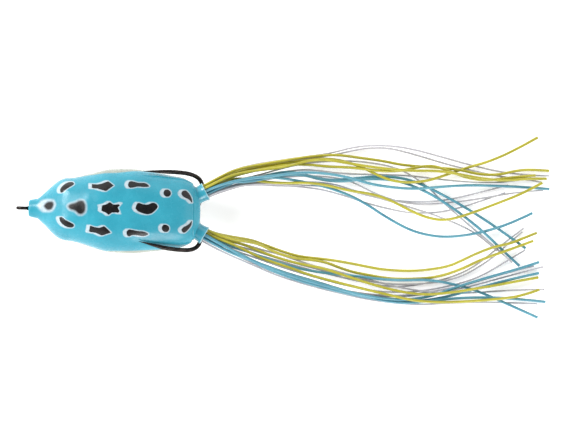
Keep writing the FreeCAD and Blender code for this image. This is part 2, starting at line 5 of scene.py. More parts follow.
import bmesh
import bpy
import numpy as np
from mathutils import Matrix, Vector


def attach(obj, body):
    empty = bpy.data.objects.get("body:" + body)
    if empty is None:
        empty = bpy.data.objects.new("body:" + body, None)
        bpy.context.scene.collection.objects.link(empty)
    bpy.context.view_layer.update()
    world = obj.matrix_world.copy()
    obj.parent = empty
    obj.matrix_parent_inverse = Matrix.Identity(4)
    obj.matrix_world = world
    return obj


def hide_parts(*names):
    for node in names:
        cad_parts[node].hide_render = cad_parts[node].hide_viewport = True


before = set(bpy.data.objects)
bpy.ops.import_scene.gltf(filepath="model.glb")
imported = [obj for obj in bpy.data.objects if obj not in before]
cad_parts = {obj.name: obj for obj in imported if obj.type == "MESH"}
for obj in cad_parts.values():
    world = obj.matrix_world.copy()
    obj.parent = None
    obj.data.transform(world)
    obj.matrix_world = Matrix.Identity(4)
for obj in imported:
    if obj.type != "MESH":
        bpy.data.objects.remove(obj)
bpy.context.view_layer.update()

MM = 0.001

# Body stations in mm: x, half width, underside, top, height of the widest line.
STATIONS = [
    (-30.4, 2.7, 5.5, 10.9, 8.2), (-30.1, 3.0, 5.2, 11.2, 8.2), (-28.8, 3.35, 4.8, 11.6, 8.2),
    (-27.4, 3.6, 4.4, 12.0, 8.2), (-26.2, 4.5, 4.0, 12.5, 8.1), (-24.3, 6.3, 3.2, 13.6, 8.0),
    (-21.9, 8.5, 2.4, 15.4, 8.3), (-19.4, 10.1, 1.7, 17.0, 8.6), (-17.2, 11.0, 1.1, 18.2, 9.0),
    (-13.9, 11.6, 0.6, 19.4, 9.3), (-10.6, 12.5, 0.2, 20.4, 9.6), (-7.7, 13.3, 0.0, 21.2, 9.8),
    (-1.3, 14.9, 0.0, 22.2, 10.1), (5.9, 15.2, 0.0, 22.3, 10.2), (14.2, 14.3, 0.0, 21.1, 10.1),
    (21.0, 13.2, 0.0, 19.4, 10.0), (24.5, 12.6, 0.2, 18.3, 10.0), (26.1, 12.0, 0.9, 17.7, 10.2),
    (28.6, 10.5, 3.8, 16.2, 10.9), (30.0, 8.3, 6.2, 14.9, 11.1), (30.9, 6.2, 7.8, 13.8, 11.2),
    (31.3, 4.2, 9.0, 13.0, 11.2), (31.42, 2.0, 10.2, 12.2, 11.2),
]
STATION_X = [s[0] for s in STATIONS]
SECTION_POWER = 2.4  # of the superellipse that each section is
CUP_DEPTH = 1.0
CUP_RINGS = (0.92, 0.80, 0.62, 0.42, 0.22)  # of the snout's cup, as parts of its rim
REAR_CREASE = 28.9  # x of the fine moulded crease round the tail
CREASE_DEPTH = 0.045  # part of the section's size
CREASE_WIDTH = 0.24
CHEEK = (-18.8, 2.8, 0.8)  # x, spread and swelling of the cheeks
EYE_MOUNDS = ((-16.8, 7.6), (-16.8, -5.6))  # x and y of their centres
MOUND_SPREAD = (4.2, 2.9)
MOUND_HEIGHT = 0.75
MOUNDS_ABOVE = 11  # the height from which they swell
RING = 144  # vertices round a section

# Leg sockets and the strands in them, mm from the rim along the socket's axis.
SOCKET_RIM = (33.15, 7.95, 10.5)
SOCKET_TURN = 29.0  # degrees out from the body's axis
PLUG_FACE = -2.5
STRAND_LEAD = 1.5
COLOURED_R = 0.5
CLEAR_R = 0.33
# The cuff's section: along the axis from the rim, radius.
CUFF_PROFILE = [(-6.0, 3.3), (-4.4, 3.2), (-3.4, 3.05), (-2.4, 3.0), (-1.2, 3.1), (-0.5, 3.25),
                (-0.15, 3.38), (0.0, 3.3), (0.03, 3.1), (0.0, 2.85), (-0.1, 2.74), (-1.0, 2.71),
                (-6.0, 2.71)]
RIM_HIGHLIGHT_SPAN = (-0.35, -0.1)  # where the cuff's paint turns pale: a painted highlight along its rim

# Slot under the tail, mm: two opposite corners, and the rounding of its edges.
SLOT_LOW = (24.5, -3.4, 3.4)
SLOT_HIGH = (36.5, 3.4, 5.8)
SLOT_ROUNDING = 1.0

# Hook, mm: the line eye, the shank, and the corners of each arm's route round the tail.
EYE_CENTRE = (-32.55, 0.0, 8.3)
EYE_RING_R = 1.85
EYE_WIRE_R = 0.62
SHANK_ENDS = ((-31.0, 0.0, 8.244), (25.0, 0.0, 5.144))
HOOK_WIRE_R = 0.77
POINT_TAPER = 10.5  # length over which a point thins
POINT_R = 0.06
RING_STEPS = 64
SHANK_STEPS = 40
HOOK_ARMS = [
    [(22.0, 0.8, 5.31), (28.7, 0.8, 4.6), (30.7, 2.9, 3.3), (31.1, 6.3, 3.0), (31.9, 9.8, 4.9),
     (30.7, 12.6, 7.8), (27.3, 14.1, 10.6), (22.6, 14.5, 12.7), (17.2, 14.5, 14.5),
     (10.56, 14.5, 16.71)],
    [(22.0, -0.8, 5.31), (28.7, -0.8, 4.6), (30.6, -2.9, 3.3), (30.9, -6.3, 3.0),
     (31.6, -9.6, 5.2), (30.9, -12.0, 8.4), (28.3, -13.4, 11.9), (24.0, -13.3, 14.9),
     (19.4, -12.8, 17.1), (16.4, -12.1, 18.1), (10.0, -10.6, 20.24)],
]

# Painted spots seen from above, mm: outlines of the black, listed in order round each.
BACK_SPOTS = {
    "nose": [(-24.8, 1.1), (-23.6, 2.5), (-21.4, 2.8), (-20.8, 1.6), (-21.6, -0.2), (-23.2, -0.6),
             (-24.3, 0.2)],
    "eye_right": [(-18.9, 6.7), (-18.5, 5.8), (-17.6, 6.1), (-16.4, 7.3), (-14.6, 8.4),
                  (-13.7, 9.1), (-14.3, 9.9), (-16.0, 9.8), (-17.5, 8.9), (-18.6, 7.7)],
    "eye_left": [(-18.9, -2.9), (-17.7, -2.7), (-16.5, -3.8), (-14.6, -4.6), (-13.1, -5.4),
                 (-13.6, -6.4), (-15.3, -6.5), (-17.0, -5.8), (-18.4, -4.5)],
    "head": [(-15.9, 1.1), (-15.0, 2.0), (-13.0, 2.5), (-11.6, 3.4), (-9.9, 3.3), (-9.2, 1.5),
             (-9.3, -0.6), (-10.5, -1.7), (-11.9, -1.6), (-12.9, -0.4), (-15.0, 0.0)],
    "arrow_right": [(-7.4, 9.3), (-5.4, 9.2), (-3.6, 9.6), (-1.6, 10.5), (0.6, 9.0), (-2.1, 6.9),
                    (-4.2, 7.4), (-5.3, 7.7), (-7.3, 7.8)],
    "arrow_left": [(-7.5, -5.5), (-5.9, -6.0), (-4.0, -6.2), (-2.4, -5.5), (0.2, -7.8),
                   (-3.2, -9.0), (-5.3, -8.1), (-7.9, -7.8)],
    "star": [(-3.8, 1.7), (-1.9, 2.2), (-0.6, 3.1), (0.6, 2.2), (2.0, 2.3), (3.7, 2.9), (2.3, 1.1),
             (3.4, -0.9), (1.6, -0.6), (0.2, -0.7), (-0.9, -1.6), (-2.0, -0.7), (-3.6, -0.2),
             (-3.3, 0.8)],
    "bone_right": [(5.5, 9.4), (5.9, 10.6), (7.0, 10.8), (9.1, 10.2), (11.5, 10.3), (12.4, 9.9),
                   (13.5, 9.0), (11.5, 8.7), (9.1, 8.9), (7.5, 8.4), (6.0, 8.3)],
    "bone_left": [(5.5, -7.3), (6.4, -6.4), (7.6, -6.6), (10.0, -7.0), (11.7, -7.0), (13.8, -7.9),
                  (11.8, -8.9), (9.4, -8.5), (7.7, -8.4), (6.5, -9.1), (5.7, -8.6)],
    "boomerang": [(8.4, 1.2), (9.3, 3.3), (11.2, 2.6), (12.9, 2.5), (14.4, 3.3), (15.6, 3.2),
                  (16.8, 1.9), (14.5, -0.6), (12.8, -1.0), (10.7, -0.5), (9.1, 0.2)],
    "dot_right": [(18.2, 7.3), (18.8, 8.1), (19.9, 8.2), (20.8, 7.5), (21.0, 6.5), (20.3, 5.6),
                  (19.3, 5.5), (18.4, 6.1)],
    "dot_left": [(18.0, -5.2), (18.6, -4.4), (19.7, -4.4), (20.6, -5.0), (20.8, -6.1),
                 (20.1, -7.0), (19.0, -7.1), (18.1, -6.4)],
    "drop_right": [(24.4, 6.8), (25.0, 7.9), (26.2, 8.1), (27.4, 6.9), (28.3, 5.4), (28.7, 3.3),
                   (27.3, 4.9), (25.5, 5.5)],
    "drop_left": [(24.8, -6.1), (25.8, -5.0), (27.4, -4.2), (28.8, -2.4), (28.4, -4.7),
                  (26.7, -6.8), (25.7, -7.3)],
}
SOFT_SPOTS = ("nose", "head")  # airbrushed, with a blurred edge
SHARP_SPOTS = ("star", "arrow_right", "arrow_left")  # masked with corners
SOFT_BLACK, SOFT_HALO = 0.20, 0.4  # how fast an airbrushed edge changes, against a masked one
# Pale halo of a back spot, mm: how far it runs on towards the nose, and its rim all round.
HALO = (1.0, 0.24)
OWN_HALO = {"nose": (1.5, 0.6), "head": (0.1, 0.3)}
FLANK_HALO = 0.5
# How far the cream reaches above the widest line, mm: everywhere, more at mid-body, at x, spread.
CREAM_RIGHT = (1.2, 5.3, 0.0, 12.5)
CREAM_LEFT = (1.0, 4.5, 7.0, 13.0)
CREAM_FRONT = (-25.0, 2.5, 6.0)  # x where it starts to fall on the snout, over what, how far
# Flank spots seen from the side, mm: x, z, half length, half height, on which side.
FLANK_SPOTS = [
    (-22.6, 9.6, 1.5, 0.9, -1), (-16.4, 10.4, 1.7, 1.0, -1), (-9.4, 11.6, 2.4, 1.1, -1),
    (-22.6, 8.2, 1.5, 0.9, 1), (-15.6, 8.8, 1.8, 1.0, 1), (-7.6, 9.0, 2.4, 1.1, 1),
    (2.6, 8.8, 2.2, 1.2, -1), (2.6, 8.4, 2.2, 1.2, 1), (14.0, 8.2, 1.8, 1.2, -1),
    (14.0, 8.2, 1.8, 1.2, 1),
]

# Skirt strands, as in the frame: where each roots in its socket (across, up from the socket's
# axis) and the points of its route over the table, mm.
STRANDS = {
    "strand_right_yellow_1": ((2.12, 0.52), [
        (40.6, 14.7, 10.3), (45.3, 16.6, 8.5), (51.5, 18, 6.9), (58.1, 19.4, 5.5),
        (64.4, 20.6, 4.4), (70.9, 21.8, 3.4), (79.9, 22.7, 2.6), (86.1, 22, 2), (96.2, 21, 1.7),
        (103.7, 19.6, 1.5), (115.4, 19.1, 1.6), (124.5, 18.6, 2.6), (131, 17.1, 2.4),
        (138.5, 17, 1.9), (145.1, 18.9, 1.4), (151.4, 19.4, 0.9), (157, 19.1, 0.5)]),
    "strand_right_yellow_2": ((2.12, -0.52), [
        (40.9, 14.2, 8.4), (45.7, 15.7, 7), (51.8, 17.3, 5.7), (58.3, 18.5, 4.5), (66.6, 20, 3.5),
        (74.6, 21.2, 2.9), (81.6, 20.7, 2.5), (88.5, 18.7, 2), (93.4, 16.4, 2.3), (99.3, 13.9, 3),
        (105.9, 13.2, 2.9), (113.4, 14.2, 2.3), (120.4, 16.8, 1.4), (126.9, 19.3, 1.3),
        (135.1, 21.8, 1.3), (144.2, 26.1, 0.9), (152.5, 31.1, 0.5)]),
    "strand_right_yellow_3": ((1.08, 0.52), [
        (41.2, 13.1, 9.8), (45.8, 14.6, 8.2), (51.6, 16.2, 6.8), (57, 17.4, 5.7),
        (62.8, 18.5, 4.7), (69.5, 18.8, 4), (76.6, 18.2, 3.6), (85.7, 18.2, 3.5),
        (95.9, 17.1, 3.2), (102.9, 17.4, 2.6), (108.4, 18.8, 2.7), (114.3, 19.9, 3),
        (120.1, 18.2, 3.1), (126.8, 15.7, 2.4), (134.3, 14.8, 2), (143.7, 16.4, 1.9),
        (152, 17.3, 1.8)]),
    "strand_right_yellow_4": ((1.08, -0.52), [
        (41.1, 12.5, 8.2), (46.3, 13.1, 7.5), (52.4, 12.2, 6.5), (60.2, 11.7, 6.2),
        (69.8, 12.2, 5.8), (76.8, 11.5, 4.6), (84.2, 9.8, 3.8), (92.9, 8.9, 3.2), (99.8, 6.8, 2.9),
        (108.3, 2.6, 2.9), (114, 0.6, 3.1), (119.9, -0, 3.6), (127.3, 2.2, 3.8), (139.2, 7.1, 3.3),
        (147.5, 10.6, 2.8), (154.5, 14.7, 2.4)]),
    "strand_right_yellow_5": ((1.2, 1.56), [
        (41.3, 13.6, 11.4), (46.2, 15.1, 9.6), (52.3, 16.2, 8), (60.5, 17.4, 6.7),
        (65.5, 18.8, 5.6), (69.6, 20.1, 4.7), (75.6, 20.8, 4.1), (82.8, 19.9, 3.7),
        (91.1, 18.7, 3.7), (99.8, 17.9, 3.8), (108.1, 17.6, 3.9), (117, 17.9, 4), (125.4, 16.7, 4),
        (133.4, 15.4, 3.4), (141.7, 15.1, 2.9), (149.6, 16.1, 2.2), (156.1, 16.2, 1.4)]),
    "strand_right_blue_1": ((0.15, 1.56), [
        (42, 11.6, 12.3), (48.3, 13, 10.4), (58.3, 14.3, 8.7), (66.5, 15.9, 7.1),
        (75.7, 15.8, 5.8), (84.9, 14.5, 4.8), (92.8, 12.2, 4), (102.9, 11.2, 3.5),
        (109.7, 11.1, 3.1), (118.8, 12.3, 2.6), (128.7, 13.1, 2.1), (139.4, 13.1, 1.7),
        (149.4, 12.9, 1.3), (157.2, 12.5, 1)]),
    "strand_right_blue_2": ((0.04, -0.52), [
        (41.9, 11.3, 7.9), (48.7, 12.4, 5.8), (55.9, 14.8, 4.8), (62.8, 16.2, 3.9),
        (70.2, 14.7, 3.1), (77.6, 13.2, 2.4), (85.8, 14.2, 1.7), (95, 15.4, 1), (103.8, 15, 1.1),
        (109.5, 13.4, 1.6), (116.5, 10.4, 1.8), (127.2, 4.9, 1.2), (139, -2.2, 0.8),
        (149.2, -9.2, 2)]),
    "strand_right_blue_3": ((-1, 0.52), [
        (42.3, 11.2, 8.9), (47.7, 13.2, 8.4), (53.6, 13.8, 8.5), (60.3, 13.5, 6.8),
        (67.6, 12.6, 4.6), (76.8, 10.8, 3.6), (85.1, 8.1, 2.8), (91.7, 4.8, 2.2), (98.2, 0.7, 1.8),
        (106.9, -3.8, 1.5), (114.2, -5.6, 1.5), (121, -6, 1.6), (130, -4.7, 1.9),
        (138.6, -2.2, 2.1), (146, 0.9, 1.6), (151.3, 3.6, 0.5)]),
    "strand_right_blue_4": ((0.04, 0.52), [
        (41.6, 11.7, 10.8), (48.1, 11.7, 8.9), (58.1, 14.2, 6), (67.4, 15.2, 4.8),
        (74.8, 13.3, 3.8), (81.9, 12.9, 3), (90.4, 14.2, 2.3), (97.7, 14.4, 1.6),
        (104.6, 13.3, 1.6), (111.6, 10.7, 1.8), (117.3, 7.8, 2.1), (124, 3.6, 2.4),
        (133.2, -3.2, 3.3), (140.4, -9.7, 2), (147.2, -15.6, 0.8)]),
    "strand_right_clear_1": ((1.75, -1.45), [
        (40.6, 15.1, 7.2), (45.3, 17, 6), (51.5, 18.6, 5), (57.9, 19.8, 3.9), (64.4, 21, 3),
        (70.8, 22, 2.3), (78.2, 23.3, 1.7), (86.9, 25.9, 1.2), (96, 26.6, 0.9), (105.5, 26, 0.6),
        (118, 23, 0.4), (128.4, 20.4, 0.4), (139.2, 18.2, 0.4), (149.5, 17.3, 0.4),
        (157.1, 17.3, 0.4)]),
    "strand_right_clear_2": ((1.05, -1.45), [
        (41.3, 13.9, 6.9), (45.8, 16, 5.6), (52.2, 17.6, 4.3), (60.8, 19.4, 3.2),
        (70.1, 20.9, 2.3), (78.7, 22.6, 1.6), (85.5, 24.3, 1.2), (91.6, 25.5, 0.8),
        (99.4, 25.6, 0.6), (108.5, 23.5, 0.5), (120.2, 20.3, 0.4), (130.6, 18.1, 0.4),
        (139.3, 16.5, 0.7), (147.7, 15.8, 1.2), (154.2, 14.9, 1.5)]),
    "strand_right_clear_3": ((0.35, -1.45), [
        (41.7, 12.3, 7.2), (48.6, 13.5, 5.6), (56.5, 15.9, 4.3), (63.7, 18.1, 3.2),
        (71.4, 19.6, 2.3), (79.2, 20.4, 1.6), (87.5, 20.6, 1.2), (97.4, 19.5, 1.2), (103, 18, 1.3),
        (108, 15.5, 1.2), (114, 11.4, 0.6), (119.2, 6.2, 1.4), (127.5, -0.6, 0.7),
        (136.8, -7.9, 1.4), (144.4, -14.5, 2.8)]),
    "strand_right_clear_4": ((-0.35, -1.45), [
        (42.4, 11.4, 6.5), (49.5, 13.4, 4.8), (58, 15.4, 3.5), (66.9, 16.9, 2.5),
        (73.1, 16.8, 1.8), (78.9, 16.1, 1.2), (86.5, 15.8, 0.8), (95, 16, 0.4), (107, 15.9, 0.4),
        (118.7, 14.7, 0.4), (130.7, 14, 0.4), (141.7, 14.5, 0.4), (150.5, 16.3, 0.4)]),
    "strand_right_clear_5": ((-2.23, -0.52), [
        (41.7, 8.9, 7.8), (46.5, 10.5, 6.5), (52.9, 10.9, 5.2), (58.4, 10.7, 4.1),
        (64.7, 10.8, 3.1), (74, 10, 2.2), (79.5, 8.8, 1.6), (85.1, 7.3, 1.2), (92.5, 5.1, 0.8),
        (100.5, 3.4, 0.6), (106.2, 2.4, 0.5), (112.4, 2.4, 0.4), (120.7, 3.4, 0.4),
        (131.7, 7, 0.4), (141.3, 10.7, 0.4)]),
    "strand_right_clear_6": ((-1.53, -0.52), [
        (41.8, 9.9, 8.9), (47.1, 11.3, 7), (53.9, 11.9, 5.3), (62.5, 11.9, 3.9), (71.1, 12.6, 2.8),
        (79.5, 12, 2), (85, 10.3, 1.3), (92.5, 8.4, 0.8), (99.7, 6.8, 0.4), (108.2, 6.4, 0.4),
        (116.4, 6.8, 0.4), (123.8, 8.3, 0.4), (133.4, 10.9, 0.4), (142.3, 13.5, 0.4)]),
    "strand_right_clear_7": ((-0.83, -0.52), [
        (42.2, 10.3, 6.6), (48.1, 11.8, 5.2), (56.7, 13.3, 3.8), (66, 14.5, 2.6),
        (73.9, 14.8, 1.7), (81.1, 14.2, 1), (86.8, 12.6, 0.8), (92.4, 9.8, 1), (97.9, 7.7, 1.2),
        (104.1, 6.1, 1.2), (111.5, 5.5, 0.6), (122.2, 6.6, 0.4), (132.9, 8.4, 1.1),
        (144.6, 10.9, 1.2), (155.1, 12, 0.4)]),
    "strand_right_clear_8": ((-1.87, 0.52), [
        (42.3, 9.6, 9.4), (47.5, 10.9, 7.6), (54.3, 11.4, 5.9), (63.2, 11.2, 4.4),
        (72.6, 11.1, 3.1), (81.2, 10.6, 2.3), (89.2, 8.8, 1.8), (96.8, 7.1, 1.5),
        (104.1, 5.2, 1.3), (114, 2.5, 1.2), (124, -0.9, 0.8), (131.5, -4.5, 0.4),
        (135.9, -7.9, 0.4), (139, -10.5, 0.4)]),
    "strand_left_yellow_1": ((2.12, -0.52), [
        (43.1, -8.2, 7.7), (49.9, -9, 6.2), (54.5, -10.6, 4.9), (60.9, -12.8, 3.7),
        (67.4, -14.6, 2.7), (76.6, -15.2, 1.9), (84.5, -16.2, 1.5), (91.4, -17.4, 1.2),
        (98.3, -18.5, 1.1), (108.9, -18.7, 1.2), (117.2, -17.5, 1.3), (122.1, -16.3, 1.6),
        (126.2, -14.3, 2), (130.6, -12, 2.6), (136.8, -9.2, 3.4), (143.8, -7.5, 3.1),
        (148.8, -5.3, 2), (153.1, -3.5, 0.5)]),
    "strand_left_yellow_2": ((2.12, 0.52), [
        (44.2, -9.3, 9.8), (49.9, -9.8, 8), (54.2, -11, 6.4), (58.6, -13.3, 5.1), (66.5, -15.4, 4),
        (73, -15.7, 3.2), (77.6, -16.5, 2.4), (81.8, -18.1, 1.8), (87.2, -19.7, 1.4),
        (93.1, -20.6, 1.2), (100.7, -21.7, 1.1), (110.3, -21.4, 1.2), (118.5, -20.4, 1.5),
        (127.1, -17, 2), (133.6, -13.5, 2.5), (143, -10, 3.1), (151.8, -6.4, 2.8)]),
    "strand_left_yellow_3": ((1.08, 0.52), [
        (41.6, -10.1, 10.5), (46.3, -12, 8.9), (53.7, -15.6, 7.5), (63.9, -18.5, 6.3),
        (70.8, -21, 5.4), (81.5, -23.5, 4.8), (90.7, -25.5, 4.4), (101, -27.6, 4.5),
        (109.5, -29.3, 4.4), (118.4, -29.6, 4), (127.5, -29.1, 3.7), (139.9, -27.8, 3.5),
        (148.5, -26.4, 2.6), (154.6, -24, 1.3)]),
    "strand_left_yellow_4": ((1.08, -0.52), [
        (42, -9.5, 8.6), (47, -10.7, 7.4), (52.4, -12.7, 6.3), (58.2, -14.8, 5.4),
        (64.8, -16.6, 4.8), (71.6, -17.8, 4.4), (76.5, -18.6, 4.2), (84.3, -21, 4.1),
        (96.7, -24.6, 3.8), (106.8, -26.6, 3.7), (114.6, -27, 3.8), (123.8, -25.8, 3.8),
        (132.8, -24, 3.6), (139.7, -22.7, 2.8), (147.6, -20.9, 1.7), (154.2, -19.6, 0.5)]),
    "strand_left_blue_1": ((0.04, -0.52), [
        (43.2, -11.6, 7.8), (51.9, -14.3, 6.5), (61.1, -17.4, 5.2), (68, -19, 4.1),
        (77.7, -20.4, 3.2), (87.6, -20.9, 2.8), (97.5, -22, 2.5), (105.3, -22.1, 2.3),
        (112.9, -21.6, 2.3), (119.8, -22.2, 2), (128.9, -24.1, 1.2), (135.6, -26.4, 1.4),
        (145.8, -30.6, 1.2), (154.3, -34.1, 1.2)]),
    "strand_left_blue_2": ((0.35, 1.56), [
        (44, -13.4, 11.2), (53.7, -17.7, 9.4), (64.9, -21.6, 7.7), (77.9, -24.9, 6.4),
        (87.1, -27.1, 5.3), (96.4, -28.7, 4.4), (105.9, -29.2, 3.3), (115.5, -27.6, 2.7),
        (121.6, -25.1, 2.6), (128.8, -22.4, 2.6), (139.6, -18.9, 2), (147.6, -16.5, 1.5),
        (154.3, -14, 0.9)]),
    "strand_left_blue_3": ((0.04, 0.52), [
        (44.3, -13.4, 9.7), (53.7, -18.3, 7.9), (64.8, -22.5, 5.9), (77.8, -25.8, 4),
        (88.6, -28, 2.7), (99, -29.5, 2), (107.8, -29.8, 1.8), (116.2, -28.7, 1.9),
        (125.7, -26.3, 2.5), (135.9, -22.9, 2.2), (146.2, -20, 1.3), (154.4, -18, 0.5)]),
    "strand_left_blue_4": ((-1, 0.52), [
        (42.8, -14, 8.8), (52.3, -17.1, 7), (62.3, -20.5, 5.8), (72.2, -23, 5), (81.8, -25.7, 4.4),
        (93.8, -28.9, 3.5), (104.2, -30.4, 3), (113, -29.6, 3), (122.7, -28.1, 3),
        (134, -27.3, 2.8), (146.4, -27.5, 1.7), (157, -28.4, 0.5)]),
    "strand_left_clear_1": ((-2.23, -0.52), [
        (40.4, -14, 8.4), (49.9, -17.8, 6.8), (59.3, -21.7, 5.2), (70, -24.7, 3.8),
        (82.4, -27.5, 2.6), (93.2, -29.5, 1.7), (103.1, -30.5, 1.2), (111.4, -30.8, 0.8),
        (122.2, -29.9, 0.5), (139.4, -28.9, 0.4), (154.1, -29.2, 0.4)]),
    "strand_left_clear_2": ((1.05, -1.45), [
        (42.9, -9.6, 7.2), (49.1, -11.1, 5.9), (54.3, -12.6, 4.8), (59.9, -13.9, 3.7),
        (65.6, -15.6, 2.9), (72.1, -17.6, 2.3), (79.1, -19, 1.9), (89.2, -21.3, 1.8),
        (98.2, -23.5, 1.9), (107.1, -25.2, 1.8), (115.5, -26, 1.6), (123.6, -26.3, 1),
        (130.2, -26, 0.4), (137.2, -25.2, 0.4), (147.1, -24.3, 0.4), (156.6, -23.9, 0.4)]),
    "strand_left_clear_3": ((0.35, -1.45), [
        (42.7, -10.8, 7), (50.3, -12.7, 5.5), (59, -15.2, 4.2), (67.7, -17.5, 3), (77.1, -19.6, 2),
        (88, -21.9, 1.3), (98.8, -23.6, 1), (108.9, -23.5, 1.3), (117, -22.6, 1.1),
        (124.8, -20.7, 0.7), (130.4, -17.9, 0.5), (137.8, -12.8, 0.4), (142.9, -7.7, 0.4),
        (148, -3.2, 0.4)]),
    "strand_left_clear_4": ((-0.35, -1.45), [
        (42.6, -12, 7.1), (50.9, -14, 5.5), (60.4, -16.4, 4.1), (69.8, -18.9, 3), (80, -21, 2),
        (90.9, -23.3, 1.3), (101.7, -24.8, 0.7), (112.1, -23.4, 0.4), (123, -20.5, 0.4),
        (131.2, -16.3, 0.9), (137.6, -10.7, 1.3), (143.4, -5.9, 0.4), (148.4, -1.9, 0.4)]),
    "strand_left_clear_5": ((-0.83, -0.52), [
        (42.6, -12.6, 8.4), (51.3, -15.3, 6.6), (61.2, -18.6, 5.1), (71.4, -21.4, 3.7),
        (82.3, -24.1, 2.6), (93.9, -26.2, 1.8), (104.7, -26.6, 1.2), (114.8, -25.3, 0.7),
        (124, -23.2, 0.6), (132.9, -20.1, 0.4), (141.3, -14.9, 0.4), (149.2, -9.8, 0.4)]),
    "strand_left_clear_6": ((-1.05, -1.45), [
        (42.2, -13.4, 7.2), (50.7, -16.8, 5.6), (60.6, -20.6, 4.4), (71.5, -23.5, 3.3),
        (83.1, -26.2, 2.5), (94.6, -27.7, 1.9), (105.4, -27.7, 1.3), (115.8, -25.8, 0.7),
        (125.4, -23.9, 0.4), (133.8, -21.2, 0.4), (143.3, -18.1, 0.4), (152.5, -15.6, 0.4)]),
    "strand_left_clear_7": ((-1.53, -0.52), [
        (42, -13.5, 8), (50.4, -17.3, 6.2), (60.6, -21.4, 4.6), (72.2, -24.6, 3.1),
        (84.2, -27.4, 2), (95.4, -28.3, 1.2), (106.2, -28, 0.6), (117.7, -26.4, 0.4),
        (129.8, -23.6, 0.4), (143.2, -19.4, 0.4), (156, -15.7, 0.4)]),
}


# Camera and lights, metres.
CAMERA_PLACE = (0.0618, 0.00065, 1.205)
CAMERA_ROLL = 1.7  # degrees
LIT_SPOT = (0.05, 0, 0)
LIGHTS = [  # name, place, size, watts
    ("key", (-0.52, 0.22, 0.42), 0.34, 3.9),
    ("fill", (0.25, -0.62, 0.42), 0.40, 2.4),
]
TENT_STRENGTH = 1.42
FLOOR_GLOW = 0.42
FLOOR_HALF = 2.0
FLOOR_DROP = -0.0004


def add_object(name, data):
    """A new object in the scene."""
    ob = bpy.data.objects.new(name, data)
    bpy.context.scene.collection.objects.link(ob)
    return ob


def finished_mesh(bm, name):
    """A mesh with what was built in the bmesh, which is then freed."""
    mesh = bpy.data.meshes.new(name)
    bm.to_mesh(mesh)
    bm.free()
    return mesh


def bridge(bm, first, second):
    """Faces between two rings of vertices."""
    for k in range(len(first)):
        after = (k + 1) % len(first)
        bm.faces.new((first[k], first[after], second[after], second[k]))


# --- camera, light and floor ----------------------------------------------------------------

def aim_camera():
    """Straight down at the lure, which lies turned a little clockwise in the picture."""
    bpy.context.scene.view_settings.view_transform = "Standard"
    camera = bpy.data.cameras.new("camera")
    camera.lens = 210
    camera.sensor_width = 36
    ob = add_object("camera", camera)
    ob.location = CAMERA_PLACE
    ob.rotation_euler = (0, 0, math.radians(CAMERA_ROLL))
    bpy.context.scene.camera = ob


def area_light(name, place, size, power):
    """A round soft light that points at the lure."""
    light = bpy.data.lights.new(name, "AREA")
    light.shape = "DISK"
    light.size = size
    light.energy = power
    ob = add_object(name, light)
    ob.location = place
    ob.rotation_euler = (Vector(LIT_SPOT) - Vector(place)).to_track_quat("-Z", "Y").to_euler()


def make_studio():
    """A lit white table, a light tent that is dark overhead, and two round soft lights."""
    world = bpy.data.worlds.new("surround")
    world.use_nodes = True
    nodes, links = world.node_tree.nodes, world.node_tree.links
    way = nodes.new("ShaderNodeTexCoord")
    split = nodes.new("ShaderNodeSeparateXYZ")
    links.new(way.outputs["Generated"], split.inputs["Vector"])
    tent = ramp(nodes, links, split.outputs["Z"],
                [(0.0, (1.0, 1.0, 1.0)), (0.60, (1.0, 1.0, 1.0)), (0.82, (0.08, 0.08, 0.08))])
    links.new(tent, nodes["Background"].inputs["Color"])
    nodes["Background"].inputs["Strength"].default_value = TENT_STRENGTH
    bpy.context.scene.world = world
    for light in LIGHTS:
        area_light(*light)
    half = FLOOR_HALF
    mesh = bpy.data.meshes.new("floor")
    mesh.from_pydata([(-half, -half, 0), (half, -half, 0), (half, half, 0), (-half, half, 0)], [],
                     [(0, 1, 2, 3)])
    floor = add_object("floor", mesh)
    floor.location.z = FLOOR_DROP
    material, nodes, links, shader = new_material("floor_paper", 0.85)
    paper = ramp(nodes, links, noise(nodes, links, 3.0),
                 [(0.3, (0.95, 0.95, 0.95)), (0.7, (0.97, 0.97, 0.97))])
    links.new(paper, shader.inputs["Base Color"])
    shader.inputs["Emission Color"].default_value = (1, 1, 1, 1)
    shader.inputs["Emission Strength"].default_value = FLOOR_GLOW
    mesh.materials.append(material)


# --- materials ------------------------------------------------------------------------------

def new_material(name, roughness):
    """A material with its nodes, links and Principled shader to hand."""
    material = bpy.data.materials.new(name)
    material.use_nodes = True
    nodes = material.node_tree.nodes
    shader = nodes["Principled BSDF"]
    shader.inputs["Roughness"].default_value = roughness
    return material, nodes, material.node_tree.links, shader


def noise(nodes, links, scale, detail=3.0, stretch=(1, 1, 1)):
    """Noise over the object's own coordinates, in cells per metre."""
    place = nodes.new("ShaderNodeTexCoord")
    mapping = nodes.new("ShaderNodeMapping")
    mapping.inputs["Scale"].default_value = stretch
    links.new(place.outputs["Object"], mapping.inputs["Vector"])
    texture = nodes.new("ShaderNodeTexNoise")
    texture.inputs["Scale"].default_value = scale
    texture.inputs["Detail"].default_value = detail
    links.new(mapping.outputs["Vector"], texture.inputs["Vector"])
    return texture.outputs["Fac"]


def ramp(nodes, links, source, stops):
    """A colour ramp from (position, colour) stops."""
    node = nodes.new("ShaderNodeValToRGB")
    elements = node.color_ramp.elements
    elements[0].position, elements[0].color = stops[0][0], (*stops[0][1], 1)
    elements[1].position, elements[1].color = stops[-1][0], (*stops[-1][1], 1)
    for position, colour in stops[1:-1]:
        elements.new(position).color = (*colour, 1)
    links.new(source, node.inputs["Fac"])
    return node.outputs["Color"]


